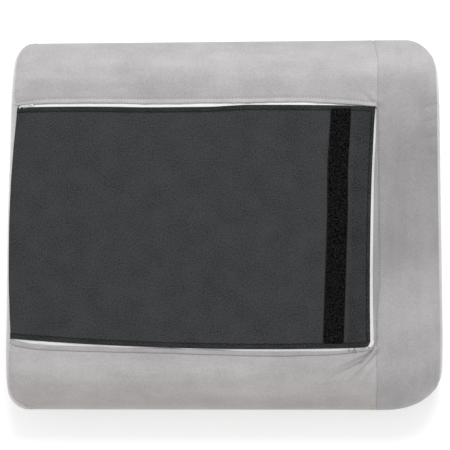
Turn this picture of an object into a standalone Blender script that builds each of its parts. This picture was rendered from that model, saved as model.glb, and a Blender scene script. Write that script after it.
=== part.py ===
"""Compact changing pad, lying on its changing side with its underside up.

A foam core in a white liner fills a plush cover. The cover is a sleeve round the long sides, a band at
one end and a cap on each end. The sleeve's underside is open from the left cap to the band, and a
charcoal flap lies in that opening. The flap is sewn into the left cap's seam and carries a loop tape
near its free end.

Metres, +Z up. The origin is at the middle of the box, on the floor. +X runs towards the band.
"""

import math

import bmesh
import bpy
from mathutils import Matrix

# Overall sizes of the pad.
LENGTH = 0.610
WIDTH = 0.520
HEIGHT = 0.085

# Edge rounding. The long sides are half ellipses that reach this far in from the side.
SIDE_ROUND = 0.060
END_ROUND = 0.014
# Plan corners as (along X, along Y) radii: left end then right end, upper side (+Y) then lower side.
LEFT_UPPER_CORNER = (0.032, 0.045)
LEFT_LOWER_CORNER = (0.031, 0.040)
RIGHT_UPPER_CORNER = (0.051, 0.056)
RIGHT_LOWER_CORNER = (0.079, 0.054)

# Cloth and thread thicknesses, and the gap that touching pieces keep.
COVER_CLOTH = 0.0020
LINER_CLOTH = 0.0010
FLAP_CLOTH = 0.0008
BINDING_CLOTH = 0.0008
THREAD_WIDTH = 0.0009
THREAD_HEIGHT = 0.0004
EASE = 0.0003

# Seams across the cover.
BAND_WIDTH = 0.090
LEFT_CAP_RIM = 0.005
RIGHT_CAP_RIM = 0.004

# The sleeve's strips beside the opening, measured at the opening's ends. Between them it bows out.
UPPER_STRIP = 0.0945
LOWER_STRIP = 0.0940
OPENING_UPPER_BOW = 0.007
OPENING_LOWER_BOW = 0.011
OPENING_LOWER_LEAN = 0.3
BOW_POWER = 6

# Bindings along the opening's edges, and how far in from a binding's outer edge its thread runs.
BINDING_WIDTH = 0.0060
END_BINDING_REACH = 0.0032
THREAD_INSET = 0.0012

# The flap. Its sides keep clear of the opening's edges and bow less than they do.
FLAP_SIDE_CLEARANCE = 0.0012
FLAP_UPPER_BOW = 0.0030
FLAP_LOWER_BOW = 0.0080
FLAP_LOWER_LEAN = 0.6
FLAP_END_CLEARANCE = 0.0010
FLAP_END_SLANT = 0.0060
FLAP_UPPER_HEM = 0.0075
FLAP_LOWER_HEM = 0.0080
FLAP_END_HEM = 0.0060

# The loop tape on the flap, leaning a little, with its middle this far in from the flap's end. Its pile
# stands on a thinner ground, which shows as a flat selvedge along each long edge and takes the stitching.
TAPE_WIDTH = 0.030
TAPE_SELVEDGE = 0.0020
TAPE_GROUND = 0.0005
TAPE_THICKNESS = 0.0013
TAPE_FROM_END = 0.051
TAPE_LEAN = math.radians(1.75)
TAPE_END_MARGIN = 0.0062

# The liner's mouth, a slit in its left end.
MOUTH_WIDTH = 0.300
MOUTH_HEIGHT = 0.004

# Facets.
CORNER_STEPS = 7
SIDE_STEPS = 16
END_STEPS = 5
EDGE_STEPS = 24

# Places that follow from the sizes.
LEFT_END = -LENGTH / 2
RIGHT_END = LENGTH / 2
BAND_SEAM = RIGHT_END - BAND_WIDTH
LEFT_SEAM = LEFT_END + LEFT_CAP_RIM
RIGHT_SEAM = RIGHT_END - RIGHT_CAP_RIM
SEAM_GAP = THREAD_WIDTH + 2 * EASE
FLAT_LEFT = LEFT_END + END_ROUND + EASE
OPENING_UPPER = WIDTH / 2 - UPPER_STRIP
OPENING_LOWER = WIDTH / 2 - LOWER_STRIP
OPENING_RIGHT = BAND_SEAM - END_BINDING_REACH
FLAP_RIGHT = OPENING_RIGHT - FLAP_END_CLEARANCE
LINER_INSET = COVER_CLOTH + EASE
FOAM_INSET = LINER_INSET + LINER_CLOTH + EASE
BINDING_Z = HEIGHT + EASE
PANEL_Z = HEIGHT + EASE
BEYOND = 0.05

CLOTHS = {
    "foam": ((0.90, 0.87, 0.74), 0.95),
    "liner": ((0.86, 0.86, 0.85), 0.90),
    "plush": ((0.40, 0.39, 0.39), 0.85),
    "binding": ((0.55, 0.54, 0.54), 0.85),
    "plush_thread": ((0.33, 0.32, 0.31), 0.70),
    "charcoal": ((0.045, 0.046, 0.050), 0.90),
    "charcoal_thread": ((0.020, 0.020, 0.022), 0.70),
    "loop": ((0.007, 0.007, 0.007), 0.95),
}


def clear_scene():
    for obj in list(bpy.data.objects):
        bpy.data.objects.remove(obj)


def new_collection(name):
    collection = bpy.data.collections.new(name)
    bpy.context.scene.collection.children.link(collection)
    return collection


def cloth_material(name, cloth):
    """A Principled material with the cloth's colour and roughness, named for the piece."""
    colour, roughness = CLOTHS[cloth]
    material = bpy.data.materials.new(name)
    material.use_nodes = True
    shader = material.node_tree.nodes["Principled BSDF"]
    shader.inputs["Base Color"].default_value = (*colour, 1)
    shader.inputs["Roughness"].default_value = roughness
    shader.inputs["Metallic"].default_value = 0
    return material


def quarter(centre, radii, start, steps):
    """Points of a quarter ellipse, turning anticlockwise from a start angle in degrees."""
    angles = [math.radians(start + 90 * i / steps) for i in range(steps + 1)]
    return [
        (centre[0] + radii[0] * math.cos(a), centre[1] + radii[1] * math.sin(a))
        for a in angles
    ]


def rounded_outline(low, high, corners, steps, inset):
    """A box outline from low to high with elliptical corners, all drawn in by inset.
    The corners are those at (high, high), (low, high), (low, low) and (high, low)."""
    points = []
    for index, radii in enumerate(corners):
        side_x = 1 if index in (0, 3) else -1
        side_y = 1 if index in (0, 1) else -1
        edge_x = high[0] if side_x > 0 else low[0]
        edge_y = high[1] if side_y > 0 else low[1]
        centre = (edge_x - side_x * radii[0], edge_y - side_y * radii[1])
        drawn_in = (radii[0] - inset, radii[1] - inset)
        points += quarter(centre, drawn_in, 90 * index, steps)
    return points


def plan_outline(inset):
    corners = (RIGHT_UPPER_CORNER, LEFT_UPPER_CORNER, LEFT_LOWER_CORNER, RIGHT_LOWER_CORNER)
    low = (LEFT_END, -WIDTH / 2)
    high = (RIGHT_END, WIDTH / 2)
    return rounded_outline(low, high, corners, CORNER_STEPS, inset)


def side_outline(inset):
    """The pad's section across its width: flat above and below, with half ellipses for sides."""
    corners = ((SIDE_ROUND, HEIGHT / 2),) * 4
    return rounded_outline((-WIDTH / 2, 0), (WIDTH / 2, HEIGHT), corners, SIDE_STEPS // 2, inset)


def end_outline(inset):
    """The pad's section along its length."""
    corners = ((END_ROUND, END_ROUND),) * 4
    return rounded_outline((LEFT_END, 0), (RIGHT_END, HEIGHT), corners, END_STEPS, inset)


def baked(obj, name, collection):
    """A mesh object made of what obj evaluates to, in world space. The old object is removed."""
    graph = bpy.context.evaluated_depsgraph_get()
    mesh = bpy.data.meshes.new_from_object(obj.evaluated_get(graph))
    mesh.transform(obj.matrix_world)
    bpy.data.objects.remove(obj)
    result = bpy.data.objects.new(name, mesh)
    collection.objects.link(result)
    return result


def welded(obj):
    """The object with its loose caps joined to its sides and its normals out."""
    mesh = bmesh.new()
    mesh.from_mesh(obj.data)
    bmesh.ops.remove_doubles(mesh, verts=mesh.verts, dist=1e-6)
    bmesh.ops.recalc_face_normals(mesh, faces=mesh.faces)
    mesh.to_mesh(obj.data)
    mesh.free()
    return obj


# How each drawing plane lies in the world, with its third axis along the world axis it leaves out.
PLANES = {
    "XY": Matrix.Identity(4),
    "YZ": Matrix(((0, 0, 1, 0), (1, 0, 0, 0), (0, 1, 0, 0), (0, 0, 0, 1))),
    "XZ": Matrix(((1, 0, 0, 0), (0, 0, 1, 0), (0, 1, 0, 0), (0, 0, 0, 1))),
}


def spline_object(name, points, plane, cyclic):
    """A 2D poly curve through points of the named plane."""
    curve = bpy.data.curves.new(name, "CURVE")
    curve.dimensions = "2D"
    spline = curve.splines.new("POLY")
    spline.points.add(len(points) - 1)
    for point, (u, v) in zip(spline.points, points):
        point.co = (u, v, 0, 1)
    spline.use_cyclic_u = cyclic
    obj = bpy.data.objects.new(name, curve)
    obj.matrix_world = PLANES[plane]
    workshop.objects.link(obj)
    return obj


def prism(name, points, plane, low, high):
    """A closed outline in a plane, extruded from low to high across that plane."""
    obj = spline_object(name, points, plane, cyclic=True)
    obj.data.fill_mode = "BOTH"
    obj.data.extrude = (high - low) / 2
    obj.matrix_world = PLANES[plane] @ Matrix.Translation((0, 0, (low + high) / 2))
    bpy.context.view_layer.update()
    return welded(baked(obj, name, workshop))


def box(name, low, high):
    """A box between two corners, for cutting."""
    bpy.ops.mesh.primitive_cube_add(size=1)
    obj = bpy.context.object
    obj.location = [(a + b) / 2 for a, b in zip(low, high)]
    obj.scale = [b - a for a, b in zip(low, high)]
    bpy.context.view_layer.update()
    return baked(obj, name, workshop)


def combined(obj, tool, operation):
    """The object after one exact Boolean with the tool, which is used up."""
    modifier = obj.modifiers.new(operation, "BOOLEAN")
    modifier.operation = operation
    modifier.solver = "EXACT"
    modifier.object = tool
    bpy.context.view_layer.update()
    result = baked(obj, obj.name, workshop)
    bpy.data.objects.remove(tool)
    return result


def copied(obj, name):
    copy = bpy.data.objects.new(name, obj.data.copy())
    workshop.objects.link(copy)
    return copy


def pad_form(name, inset):
    """The pad's solid form drawn in by inset: where its plan and its two sections all agree."""
    form = prism(name, plan_outline(inset), "XY", -BEYOND, HEIGHT + BEYOND)
    reach = LENGTH / 2 + BEYOND
    across = prism("section_across", side_outline(inset), "YZ", -reach, reach)
    form = combined(form, across, "INTERSECT")
    reach = WIDTH / 2 + BEYOND
    along = prism("section_along", end_outline(inset), "XZ", -reach, reach)
    return combined(form, along, "INTERSECT")


def finished(obj, name, cloth, smooth_degrees=35):
    """Moves a piece into the object's collection with its name, cloth and shading."""
    for collection in list(obj.users_collection):
        collection.objects.unlink(obj)
    pad_parts.objects.link(obj)
    obj.name = name
    obj.data.name = name
    obj.data.materials.clear()
    obj.data.materials.append(cloth_material(name, cloth))
    obj.data.shade_smooth()
    obj.data.set_sharp_from_angle(angle=math.radians(smooth_degrees))
    return obj


def slab(name, x_low, x_high):
    """A box that holds all of the pad between two places along its length."""
    reach = WIDTH / 2 + BEYOND
    return box(name, (x_low, -reach, -BEYOND), (x_high, reach, HEIGHT + BEYOND))


def along_opening(x):
    """-1 at the pad's left end and 1 at the band's seam."""
    middle = (LEFT_END + BAND_SEAM) / 2
    return max(-1.0, min(1.0, (x - middle) / (BAND_SEAM - middle)))


def bowed(x, half, bow, lean):
    """The half width of a bowed edge at x: half at the ends, and about half + bow between them."""
    s = along_opening(x)
    return half + bow * (1 - abs(s) ** BOW_POWER) * (1 + lean * s)


def opening_upper(x):
    return bowed(x, OPENING_UPPER, OPENING_UPPER_BOW, 0)


def opening_lower(x):
    return -bowed(x, OPENING_LOWER, OPENING_LOWER_BOW, OPENING_LOWER_LEAN)


def flap_upper(x):
    return bowed(x, OPENING_UPPER - FLAP_SIDE_CLEARANCE, FLAP_UPPER_BOW, 0)


def flap_lower(x):
    return -bowed(x, OPENING_LOWER - FLAP_SIDE_CLEARANCE, FLAP_LOWER_BOW, FLAP_LOWER_LEAN)


def flap_end(y):
    """Where the flap's free end lies: square to the band at its upper corner, slanting away below."""
    upper = OPENING_UPPER - FLAP_SIDE_CLEARANCE
    share = (upper - y) / (2 * upper)
    return FLAP_RIGHT - FLAP_END_SLANT * share


def stations(low, high, steps):
    return [low + (high - low) * i / steps for i in range(steps + 1)]


def edge_points(edge, x_low, x_high, outward=0):
    """Points along an edge of the opening or the flap, moved outward from the pad's middle line."""
    away = outward if edge(x_low) > 0 else -outward
    return [(x, edge(x) + away) for x in stations(x_low, x_high, EDGE_STEPS)]


def strip_along(name, edge, inner, outer, x_low, x_high, z_low, z_high):
    """A strip that follows an edge, between two distances outward from it."""
    points = edge_points(edge, x_low, x_high, inner)
    points += edge_points(edge, x_low, x_high, outer)[::-1]
    return prism(name, points, "XY", z_low, z_high)


def slanted_strip(name, inner, outer, y_low, y_high, z_low, z_high):
    """A strip along the flap's free end, between two distances in from it."""
    points = [(flap_end(y_low) - inner, y_low), (flap_end(y_high) - inner, y_high)]
    points += [(flap_end(y_high) - outer, y_high), (flap_end(y_low) - outer, y_low)]
    return prism(name, points, "XY", z_low, z_high)


def make_filling():
    """The foam core, and the liner round it with a slit mouth in its left end."""
    foam = pad_form("foam", FOAM_INSET)
    liner = pad_form("liner", LINER_INSET)
    liner = combined(liner, pad_form("liner_inside", LINER_INSET + LINER_CLOTH), "DIFFERENCE")
    middle = HEIGHT / 2
    mouth = box(
        "mouth",
        (LEFT_END - BEYOND, -MOUTH_WIDTH / 2, middle - MOUTH_HEIGHT / 2),
        (LEFT_END + FOAM_INSET, MOUTH_WIDTH / 2, middle + MOUTH_HEIGHT / 2),
    )
    liner = combined(liner, mouth, "DIFFERENCE")
    finished(foam, "foam_core", "foam")
    finished(liner, "inner_liner", "liner")


def opening_cutter():
    """The opening's outline from the left end to the band's seam, through the upper cloth only."""
    lower = edge_points(opening_lower, LEFT_END, BAND_SEAM)
    upper = edge_points(opening_upper, LEFT_END, BAND_SEAM)
    return prism("opening", lower + upper[::-1], "XY", HEIGHT / 2, HEIGHT + BEYOND)


def past_left_seam(shift):
    """All that lies to the right of the left cap's seam, moved right by shift. The seam follows the
    pad's outline round both left corners, and runs down the sides where the corners begin."""
    upper_x, upper_y = LEFT_UPPER_CORNER
    lower_x, lower_y = LEFT_LOWER_CORNER
    upper_centre = (LEFT_END + upper_x + shift, WIDTH / 2 - upper_y)
    lower_centre = (LEFT_END + lower_x + shift, -WIDTH / 2 + lower_y)
    upper_radii = (upper_x - LEFT_CAP_RIM, upper_y - LEFT_CAP_RIM - shift)
    lower_radii = (lower_x - LEFT_CAP_RIM, lower_y - LEFT_CAP_RIM - shift)
    reach = WIDTH / 2 + BEYOND
    points = [(RIGHT_END + BEYOND, reach), (upper_centre[0], reach)]
    points += quarter(upper_centre, upper_radii, 90, CORNER_STEPS)
    points += quarter(lower_centre, lower_radii, 180, CORNER_STEPS)
    points += [(lower_centre[0], -reach), (RIGHT_END + BEYOND, -reach)]
    return prism("past_left_seam", points, "XY", -BEYOND, HEIGHT + BEYOND)


def make_cover():
    """The plush cover, cut along its seams into a sleeve, an end band and two end caps."""
    shell = pad_form("shell", 0)
    shell = combined(shell, pad_form("shell_inside", COVER_CLOTH), "DIFFERENCE")
    half_gap = SEAM_GAP / 2
    left_cap = combined(copied(shell, "left_end_cap"), past_left_seam(-half_gap), "DIFFERENCE")
    finished(left_cap, "left_end_cap", "plush")
    edges = (LEFT_END - BEYOND, BAND_SEAM, RIGHT_SEAM, RIGHT_END + BEYOND)
    names = ("cover_sleeve", "cover_end_band", "right_end_cap")
    for name, low, high in zip(names, edges, edges[1:]):
        piece = combined(copied(shell, name), slab("cut", low + half_gap, high - half_gap), "INTERSECT")
        if name == "cover_sleeve":
            piece = combined(piece, past_left_seam(half_gap), "INTERSECT")
            piece = combined(piece, opening_cutter(), "DIFFERENCE")
        finished(piece, name, "plush")
    bpy.data.objects.remove(shell)


def make_seam_threads():
    """A ring of thread in each seam, within the thickness of the cloths that it joins."""
    shell = pad_form("rings", EASE)
    shell = combined(shell, pad_form("rings_inside", COVER_CLOTH - EASE), "DIFFERENCE")
    half = THREAD_WIDTH / 2
    for name, x in {"end_band": BAND_SEAM, "right_cap": RIGHT_SEAM}.items():
        ring = combined(copied(shell, name), slab("cut", x - half, x + half), "INTERSECT")
        finished(ring, name + "_seam_thread", "plush_thread")
    ring = combined(shell, past_left_seam(-half), "INTERSECT")
    ring = combined(ring, past_left_seam(half), "DIFFERENCE")
    finished(ring, "left_cap_seam_thread", "plush_thread")


def make_edge_bindings():
    """Folded strips along the opening's three edges, each held by a row of thread."""
    low = FLAT_LEFT
    high = BAND_SEAM - EASE
    top = BINDING_Z + BINDING_CLOTH
    for side, edge in (("upper", opening_upper), ("lower", opening_lower)):
        strip = strip_along(side, edge, 0, BINDING_WIDTH, low, high, BINDING_Z, top)
        finished(strip, side + "_edge_binding", "binding")
        outer = BINDING_WIDTH - THREAD_INSET
        inner = outer - THREAD_WIDTH
        thread = strip_along(side, edge, inner, outer, low, high, top + EASE, top + EASE + THREAD_HEIGHT)
        finished(thread, side + "_binding_thread", "plush_thread")
    y_low, y_high = opening_lower(BAND_SEAM) + EASE, opening_upper(BAND_SEAM) - EASE
    x_high = OPENING_RIGHT + BINDING_WIDTH
    strip = box("end", (OPENING_RIGHT, y_low, BINDING_Z), (x_high, y_high, top))
    finished(strip, "end_edge_binding", "binding")
    x_high -= THREAD_INSET
    thread_z = top + EASE
    thread = box(
        "end_thread",
        (x_high - THREAD_WIDTH, y_low, thread_z),
        (x_high, y_high, thread_z + THREAD_HEIGHT),
    )
    finished(thread, "end_binding_thread", "plush_thread")


def flap_middle(x):
    """The height of the middle of the flap's cloth over x. It follows the round edge at the left end."""
    short = max(0.0, LEFT_END + END_ROUND - x)
    radius = END_ROUND + EASE + FLAP_CLOTH / 2
    return HEIGHT - END_ROUND + math.sqrt(radius**2 - short**2)


def make_flap_panel():
    """The flap's cloth: a ribbon from the left cap's seam to its free end, cut to the flap's outline."""
    root = LEFT_SEAM + SEAM_GAP / 2
    path = [(x, flap_middle(x)) for x in stations(root, LEFT_END + END_ROUND, END_STEPS)]
    path += [(FLAP_RIGHT + BEYOND, flap_middle(FLAP_RIGHT))]
    ribbon = spline_object("ribbon", path, "XZ", cyclic=False)
    ribbon.data.extrude = WIDTH / 2
    bpy.context.view_layer.update()
    panel = welded(baked(ribbon, "panel", workshop))
    solidify = panel.modifiers.new("Cloth", "SOLIDIFY")
    solidify.thickness = FLAP_CLOTH
    solidify.offset = 0
    lower = edge_points(flap_lower, LEFT_END, flap_end(flap_lower(FLAP_RIGHT)))
    upper = edge_points(flap_upper, LEFT_END, flap_end(flap_upper(FLAP_RIGHT)))
    outline = prism("flap_outline", lower + upper[::-1], "XY", 0, HEIGHT + BEYOND)
    panel = combined(panel, outline, "INTERSECT")
    finished(panel, "flap_panel", "charcoal")


def make_flap_hems():
    """Turned hems under the flap's three free edges, and the thread that shows on top of each."""
    hem_top = PANEL_Z - EASE
    hem_bottom = hem_top - FLAP_CLOTH
    thread_z = PANEL_Z + FLAP_CLOTH + EASE
    thread_top = thread_z + THREAD_HEIGHT
    end_inner = FLAP_END_SLANT + FLAP_END_HEM + EASE
    x_high = FLAP_RIGHT - end_inner
    sides = (("upper", flap_upper, FLAP_UPPER_HEM), ("lower", flap_lower, FLAP_LOWER_HEM))
    for side, edge, hem in sides:
        strip = strip_along(side, edge, -hem, 0, FLAT_LEFT, x_high, hem_bottom, hem_top)
        finished(strip, f"flap_{side}_hem", "charcoal")
        inner = -hem
        outer = inner + THREAD_WIDTH
        thread = strip_along(side, edge, inner, outer, FLAT_LEFT, x_high, thread_z, thread_top)
        finished(thread, f"flap_{side}_thread", "charcoal_thread")
    y_low, y_high = flap_lower(FLAP_RIGHT), flap_upper(FLAP_RIGHT)
    strip = slanted_strip("end", 0, FLAP_END_HEM, y_low, y_high, hem_bottom, hem_top)
    finished(strip, "flap_end_hem", "charcoal")
    inner = FLAP_END_HEM - THREAD_WIDTH
    y_low += FLAP_LOWER_HEM
    y_high -= FLAP_UPPER_HEM
    thread = slanted_strip("end", inner, FLAP_END_HEM, y_low, y_high, thread_z, thread_top)
    finished(thread, "flap_end_thread", "charcoal_thread")


def leaning_box(name, x_middle, width, y_low, y_high, z_low, z_high):
    """A straight strip across the flap, leaning to +X at its upper end as the loop tape does."""
    y_middle = (y_low + y_high) / 2
    half = (y_high - y_low) / 2
    shift = half * math.tan(TAPE_LEAN)
    points = [(-shift - width / 2, -half), (-shift + width / 2, -half)]
    points += [(shift + width / 2, half), (shift - width / 2, half)]
    points = [(x + x_middle, y + y_middle) for x, y in points]
    return prism(name, points, "XY", z_low, z_high)


def make_tape():
    """The loop tape, sewn on with a row of thread along each long edge."""
    x_middle = FLAP_RIGHT - TAPE_FROM_END
    y_low = flap_lower(x_middle) + TAPE_END_MARGIN
    y_high = flap_upper(x_middle) - TAPE_END_MARGIN
    z_low = PANEL_Z + FLAP_CLOTH + EASE + THREAD_HEIGHT + EASE
    ground_top = z_low + TAPE_GROUND
    tape = leaning_box("tape", x_middle, TAPE_WIDTH, y_low, y_high, z_low, ground_top)
    pile_width = TAPE_WIDTH - 2 * TAPE_SELVEDGE
    pile_low = z_low + TAPE_GROUND / 2
    pile = leaning_box("pile", x_middle, pile_width, y_low, y_high, pile_low, z_low + TAPE_THICKNESS)
    finished(combined(tape, pile, "UNION"), "loop_tape", "loop")
    reach = (TAPE_WIDTH - TAPE_SELVEDGE) / 2
    z_low = ground_top + EASE
    z_high = z_low + THREAD_HEIGHT
    for side, offset in (("left", -reach), ("right", reach)):
        thread = leaning_box(side, x_middle + offset, THREAD_WIDTH, y_low, y_high, z_low, z_high)
        finished(thread, f"tape_{side}_thread", "charcoal_thread")


clear_scene()
workshop = new_collection("workshop")
pad_parts = new_collection("changing_pad")
make_filling()
make_cover()
make_seam_threads()
make_edge_bindings()
make_flap_panel()
make_flap_hems()
make_tape()

# The moving flap hangs from an empty on its hinge line, along the left cap's seam.
hinge = bpy.data.objects.new("flap_hinge", None)
hinge.location = (LEFT_SEAM, 0, flap_middle(LEFT_SEAM))
pad_parts.objects.link(hinge)
bpy.context.view_layer.update()
for part in pad_parts.objects:
    if part.name.startswith(("flap_", "loop_", "tape_")) and part != hinge:
        part.parent = hinge
        part.matrix_parent_inverse = hinge.matrix_world.inverted()
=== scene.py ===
"""A compact changing pad, lying on its changing side with its underside up.

A foam core sits in a white liner, inside a light grey plush cover. The underside of the cover is open
from the left seam to the end band, and a charcoal flap with a loop tape closes it. Everything is in
metres, +Z up, +X towards the end band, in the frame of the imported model.
"""

import math

import bpy
import numpy as np
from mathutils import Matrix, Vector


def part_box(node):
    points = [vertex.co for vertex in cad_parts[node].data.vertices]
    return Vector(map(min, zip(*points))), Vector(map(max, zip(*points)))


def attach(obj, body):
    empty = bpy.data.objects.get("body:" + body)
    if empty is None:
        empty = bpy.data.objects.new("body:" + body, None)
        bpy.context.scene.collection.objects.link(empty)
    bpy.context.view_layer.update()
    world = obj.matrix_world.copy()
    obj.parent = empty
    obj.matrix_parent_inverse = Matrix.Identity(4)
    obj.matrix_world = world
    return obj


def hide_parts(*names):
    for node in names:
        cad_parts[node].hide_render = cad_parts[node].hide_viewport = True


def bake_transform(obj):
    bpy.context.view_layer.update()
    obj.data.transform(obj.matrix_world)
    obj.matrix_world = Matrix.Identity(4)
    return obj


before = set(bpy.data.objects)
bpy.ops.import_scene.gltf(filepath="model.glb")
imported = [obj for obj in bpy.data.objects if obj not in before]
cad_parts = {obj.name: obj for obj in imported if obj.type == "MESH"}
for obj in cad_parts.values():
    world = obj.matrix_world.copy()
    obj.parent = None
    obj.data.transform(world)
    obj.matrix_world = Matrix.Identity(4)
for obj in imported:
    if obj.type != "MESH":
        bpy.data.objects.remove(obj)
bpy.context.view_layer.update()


# ------------------------------------------------------------------------------------------ studio
# A pale floor that glows a little and runs on to a white sky, one large soft light beyond the pad's
# upper side, and a long lens almost straight above, a little towards the lower side.

FLOOR_DROP = 0.0003
FLOOR_SIZE = 14.0
FLOOR_GREY = 0.93
FLOOR_GLOW = 0.30
SKY_STRENGTH = 0.70
KEY_PLACE = (0.15, 2.3, 2.6)
KEY_SIZE = (1.6, 1.2)
KEY_POWER = 54.0
CAMERA_ELEVATION = math.radians(88.5)
CAMERA_DISTANCE = 4.0
CAMERA_TARGET = (0.0005, 0.0, 0.0425)
CAMERA_ROLL = math.radians(0.1)
VIEW_WIDTH = 0.6345
SENSOR_WIDTH = 36.0


def plain_material(name, colour, roughness):
    """A Principled material of one colour, its node tree and its shader, for more to be added."""
    material = bpy.data.materials.new(name)
    material.use_nodes = True
    tree = material.node_tree
    shader = tree.nodes["Principled BSDF"]
    shader.inputs["Base Color"].default_value = (*colour, 1.0)
    shader.inputs["Roughness"].default_value = roughness
    return material, tree, shader


def lay_floor():
    """One large square of pale paper, a hair below the pad."""
    mesh = bpy.data.meshes.new("floor")
    half = FLOOR_SIZE / 2
    corners = [(-half, -half, -FLOOR_DROP), (half, -half, -FLOOR_DROP)]
    corners += [(half, half, -FLOOR_DROP), (-half, half, -FLOOR_DROP)]
    mesh.from_pydata(corners, [], [(0, 1, 2, 3)])
    floor = bpy.data.objects.new("floor", mesh)
    bpy.context.scene.collection.objects.link(floor)
    paper, _, shader = plain_material("floor_paper", (FLOOR_GREY,) * 3, 0.9)
    shader.inputs["Emission Color"].default_value = (1, 1, 1, 1)
    shader.inputs["Emission Strength"].default_value = FLOOR_GLOW
    mesh.materials.append(paper)


def set_up_light():
    """A white sky, and a rectangular light turned towards the camera's target."""
    world = bpy.data.worlds.new("sky")
    world.use_nodes = True
    background = world.node_tree.nodes["Background"]
    background.inputs["Color"].default_value = (1, 1, 1, 1)
    background.inputs["Strength"].default_value = SKY_STRENGTH
    bpy.context.scene.world = world
    light = bpy.data.lights.new("soft_key", "AREA")
    light.shape = "RECTANGLE"
    light.size, light.size_y = KEY_SIZE
    light.energy = KEY_POWER
    key = bpy.data.objects.new("soft_key", light)
    key.location = KEY_PLACE
    back = np.array(KEY_PLACE) - np.array(CAMERA_TARGET)
    tilt = math.atan2(math.hypot(back[0], back[1]), back[2])
    key.rotation_euler = (tilt, 0, math.atan2(back[0], -back[1]))
    bpy.context.scene.collection.objects.link(key)
    bpy.context.scene.view_settings.view_transform = "Standard"


def set_up_camera():
    """A camera at its distance and elevation from the target, its lens fitted to the view's width."""
    camera_data = bpy.data.cameras.new("camera")
    camera_data.sensor_width = SENSOR_WIDTH
    camera_data.lens = SENSOR_WIDTH * CAMERA_DISTANCE / VIEW_WIDTH
    camera = bpy.data.objects.new("camera", camera_data)
    back = np.array([0.0, -math.cos(CAMERA_ELEVATION), math.sin(CAMERA_ELEVATION)])
    camera.location = np.array(CAMERA_TARGET) + back * CAMERA_DISTANCE
    camera.rotation_euler = (math.pi / 2 - CAMERA_ELEVATION, 0, CAMERA_ROLL)
    bpy.context.scene.collection.objects.link(camera)
    bpy.context.scene.camera = camera


lay_floor()
set_up_light()
set_up_camera()


# --------------------------------------------------------------------------------------- foam core
# A slab of soft polyurethane foam. It gives every layer its shape, so the pad's form is worked out
# here: a rounded slab whose long sides are half ellipses, fuller along its edges than in the middle.

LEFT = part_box("left_end_cap")[0][0]
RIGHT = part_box("right_end_cap")[1][0]
HALF_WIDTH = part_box("cover_sleeve")[1][1]
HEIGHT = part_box("cover_sleeve")[1][2]
SEAM_X = (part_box("cover_sleeve")[1][0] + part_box("cover_end_band")[0][0]) / 2
MIDDLE = HEIGHT / 2
SIDE_ROUND = 0.060
END_ROUND = 0.013
END_BULGE = 0.0004
# Plan corner radii along X and along Y, upper side (+Y) then lower side.
LEFT_CORNERS = ((0.027, 0.041), (0.031, 0.040))
RIGHT_CORNERS = ((0.048, 0.053), (0.080, 0.055))
UPPER_SIDE_DROP = 0.0012
UPPER_SIDE_LEAN = 0.0070
LENGTH_SHARE = 0.998
TAPER = 0.041
UPPER_LEFT_TAPER = 0.040
# How far each end is pressed in, where that stretch begins and its reach towards the end.
END_PRESSES = ((0.0019, 0.250, 0.055), (-0.0012, -0.3005, -0.0045))
ROLL_CREST = 0.0050
ROLL_FROM_SIDE = 0.052
ROLL_WIDTH = 0.030
BAND_CREST = 0.0030
BAND_CREST_FROM_END = 0.045
BAND_CREST_WIDTH = 0.028
BAND_CREST_FADE = 0.10
BELLY = 0.0025
WAVE_HEIGHT = 0.0005
WAVE_LENGTHS = (0.055, 0.15)
END_FADE = 0.04
FOLD_FADE = 0.004
END_RINGS = 12
FOAM_INSET = 0.0042
FOAM_INSET_IN_OPENING = 0.0018
FOAM_COLOUR = (0.80, 0.74, 0.55)


def rising(x, start, reach):
    """0 up to start, 1 from start plus reach on, and an even rise between them."""
    return np.clip((x - start) / reach, 0, 1)


def smooth(share):
    """The same share from 0 to 1, leaving and arriving level."""
    return share * share * (3 - 2 * share)


def bump(distance, width):
    """A bell curve, 1 high."""
    return np.exp(-((distance / width) ** 2))


def round_corner(along, radius):
    """How far a quarter circle has drawn in at a distance along from the end it runs to."""
    short = np.clip(radius - along, 0, radius)
    return radius - np.sqrt(radius**2 - short**2)


def half_width(x, side):
    """Half of the width at x on one side: the full half width, less the drop of a quarter ellipse
    within each corner's reach. The upper side lies a little further in, less so towards the band."""
    width = HALF_WIDTH + 0 * x
    upper = side > 0
    for along, corners in ((x - LEFT, LEFT_CORNERS), (RIGHT - x, RIGHT_CORNERS)):
        reach = np.where(upper, corners[0][0], corners[1][0])
        depth = np.where(upper, corners[0][1], corners[1][1])
        share = np.clip(1 - along / reach, 0, 1)
        width = width - depth * (1 - np.sqrt(1 - share**2))
    lean = UPPER_SIDE_LEAN * ((x - LEFT) / (RIGHT - LEFT) - 0.5)
    return width + np.where(upper, lean - UPPER_SIDE_DROP, 0)


def half_height(x):
    """Half of the height at x: full, but a quarter circle at both ends."""
    return MIDDLE - round_corner(np.minimum(x - LEFT, RIGHT - x), END_ROUND)


def soft_waves(x, y, shortest, longest, count, seed):
    """A sum of plane cosines in seeded directions, lengths and phases, about 1 high at most."""
    draw = np.random.default_rng(seed)
    total = 0.0
    for angle, length, phase in draw.uniform((0, shortest, 0), (6.28, longest, 6.28), (count, 3)):
        place = x * math.cos(angle) + y * math.sin(angle)
        total = total + np.cos(2 * math.pi * place / length + phase)
    return total / math.sqrt(2 * count)


def fold(x, y, start, end, width, height):
    """A ridge along a line, or a valley for a negative height. It rises quickly from its start and
    fades slowly towards its end."""
    along = np.array(end) - np.array(start)
    length = math.hypot(*along)
    unit = along / length
    share = ((x - start[0]) * unit[0] + (y - start[1]) * unit[1]) / length
    across = (x - start[0]) * unit[1] - (y - start[1]) * unit[0]
    root = np.sqrt(np.clip(share, 0, 1))
    return height * 4 * root * (1 - root) * bump(across, width)


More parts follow.
